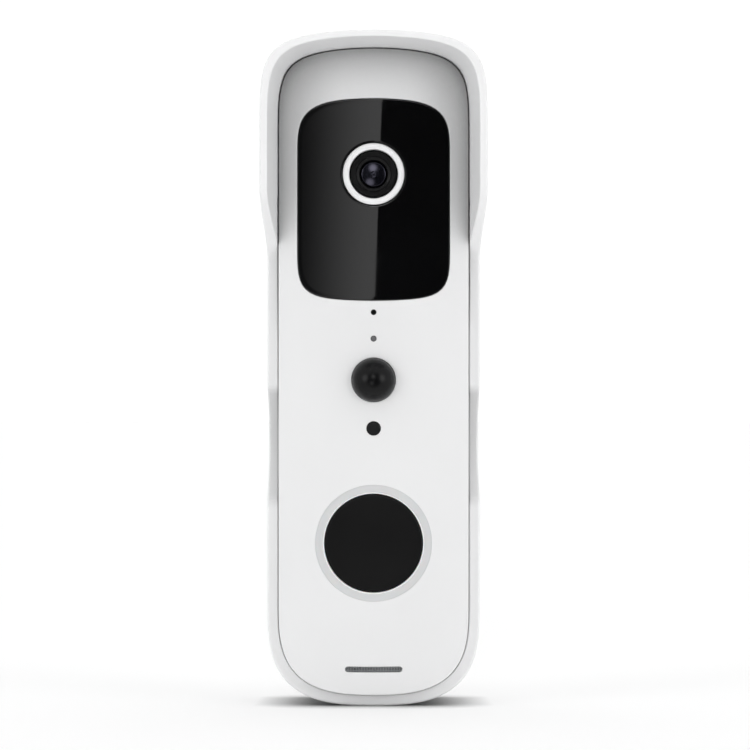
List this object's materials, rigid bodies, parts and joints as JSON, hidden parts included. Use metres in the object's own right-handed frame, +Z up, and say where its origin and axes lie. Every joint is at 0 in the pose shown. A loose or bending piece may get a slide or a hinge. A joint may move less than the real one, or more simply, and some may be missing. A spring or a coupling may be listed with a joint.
{
  "type": "video doorbell",
  "caption": "Slim upright video doorbell with a camera window, motion sensor dome and round call button, held in a wall bracket with a rain hood.",
  "frame": {"origin": "middle of the bracket's back face, on the wall", "axes": "+X to the right seen from the front, +Y into the wall, +Z up, so the front faces -Y"},
  "size_m": [0.0484, 0.0465, 0.144],
  "materials": {
    "white_plastic": "fine satin moulded white",
    "black_gloss": "polished black, dark to the eye and clear to infrared",
    "black_plastic": "satin black",
    "black_rubber": "matt black",
    "grey_rubber": "matt grey silicone",
    "light_ring": "frosted, lets light through",
    "lens_glass": "coated lens",
    "circuit_board": "solder mask",
    "chip": "moulded package",
    "steel": "plain",
    "tinned": "tinned",
    "brass": "stamped",
    "cell": "shrink sleeve",
    "ribbon": "film"
  },
  "bodies": {
    "bracket": {"wall_bracket": "white_plastic"},
    "lock_screw": {"security_screw": "steel"},
    "call_button": {"button_cap": "black_plastic", "switch_stem": "black_plastic"},
    "port_flap": {"port_flap": "black_rubber"},
    "reset_button": {"reset_button": "grey_rubber"},
    "doorbell_unit": {"camera_ring": "white_plastic", "lens_barrel": "black_plastic", "lens_glass": "lens_glass", "lens_holder": "black_plastic", "image_sensor": "chip", "camera_board": "circuit_board", "camera_ribbon": "ribbon", "infrared_board": "circuit_board", "infrared_led_left": "lens_glass", "infrared_led_right": "lens_glass", "button_light_ring": "light_ring", "button_seal": "grey_rubber", "button_switch": "black_plastic", "main_board": "circuit_board", "main_chip": "chip", "wireless_module": "tinned", "antenna": "ribbon", "microphone": "tinned", "status_light_pipe": "light_ring", "status_led": "light_ring", "motion_dome": "black_gloss", "motion_sensor": "tinned", "light_sensor_window": "black_gloss", "light_sensor": "chip", "speaker": "black_plastic", "speaker_seal": "black_rubber", "speaker_mesh": "steel", "speaker_lead": "black_rubber", "battery_cell_left": "cell", "contact_plate_left": "tinned", "contact_spring_left": "steel", "battery_cell_right": "cell", "contact_plate_right": "tinned", "contact_spring_right": "steel", "battery_cover": "white_plastic", "battery_cover_seal": "grey_rubber", "battery_cover_screw_upper": "steel", "battery_cover_screw_lower": "steel", "port_board": "circuit_board", "port_ribbon": "ribbon", "usb_port": "steel", "reset_switch": "black_plastic", "terminal_plate_left": "brass", "terminal_screw_left": "tinned", "terminal_plate_right": "brass", "terminal_screw_right": "tinned", "front_housing": "white_plastic", "rear_housing": "white_plastic", "housing_seal": "grey_rubber", "front_window": "black_gloss", "case_screw_top_left": "steel", "case_screw_top_right": "steel", "case_screw_bottom_left": "steel", "case_screw_bottom_right": "steel"}
  },
  "joints": [
    {"name": "unit_release", "type": "slide", "parent": "bracket", "child": "doorbell_unit", "axis": [0, -1, 0], "range_m": [0, 0.048]},
    {"name": "lock_screw_travel", "type": "slide", "parent": "bracket", "child": "lock_screw", "axis": [0, 0, 1], "range_m": [0, 0.0025]},
    {"name": "button_press", "type": "slide", "parent": "doorbell_unit", "child": "call_button", "axis": [0, 1, 0], "range_m": [0, 0.0005], "stiffness_N_per_m": 1500, "springref_m": -0.0008},
    {"name": "flap_hinge", "type": "hinge", "parent": "doorbell_unit", "child": "port_flap", "pos_m": [0, -0.0027, -0.0531], "axis": [-1, 0, 0], "range_deg": [0, 100], "stiffness_Nm_per_rad": 0.0004},
    {"name": "reset_press", "type": "slide", "parent": "doorbell_unit", "child": "reset_button", "axis": [0, -1, 0], "range_m": [0, 0.0004], "stiffness_N_per_m": 1500, "springref_m": -0.0005}
  ]
}
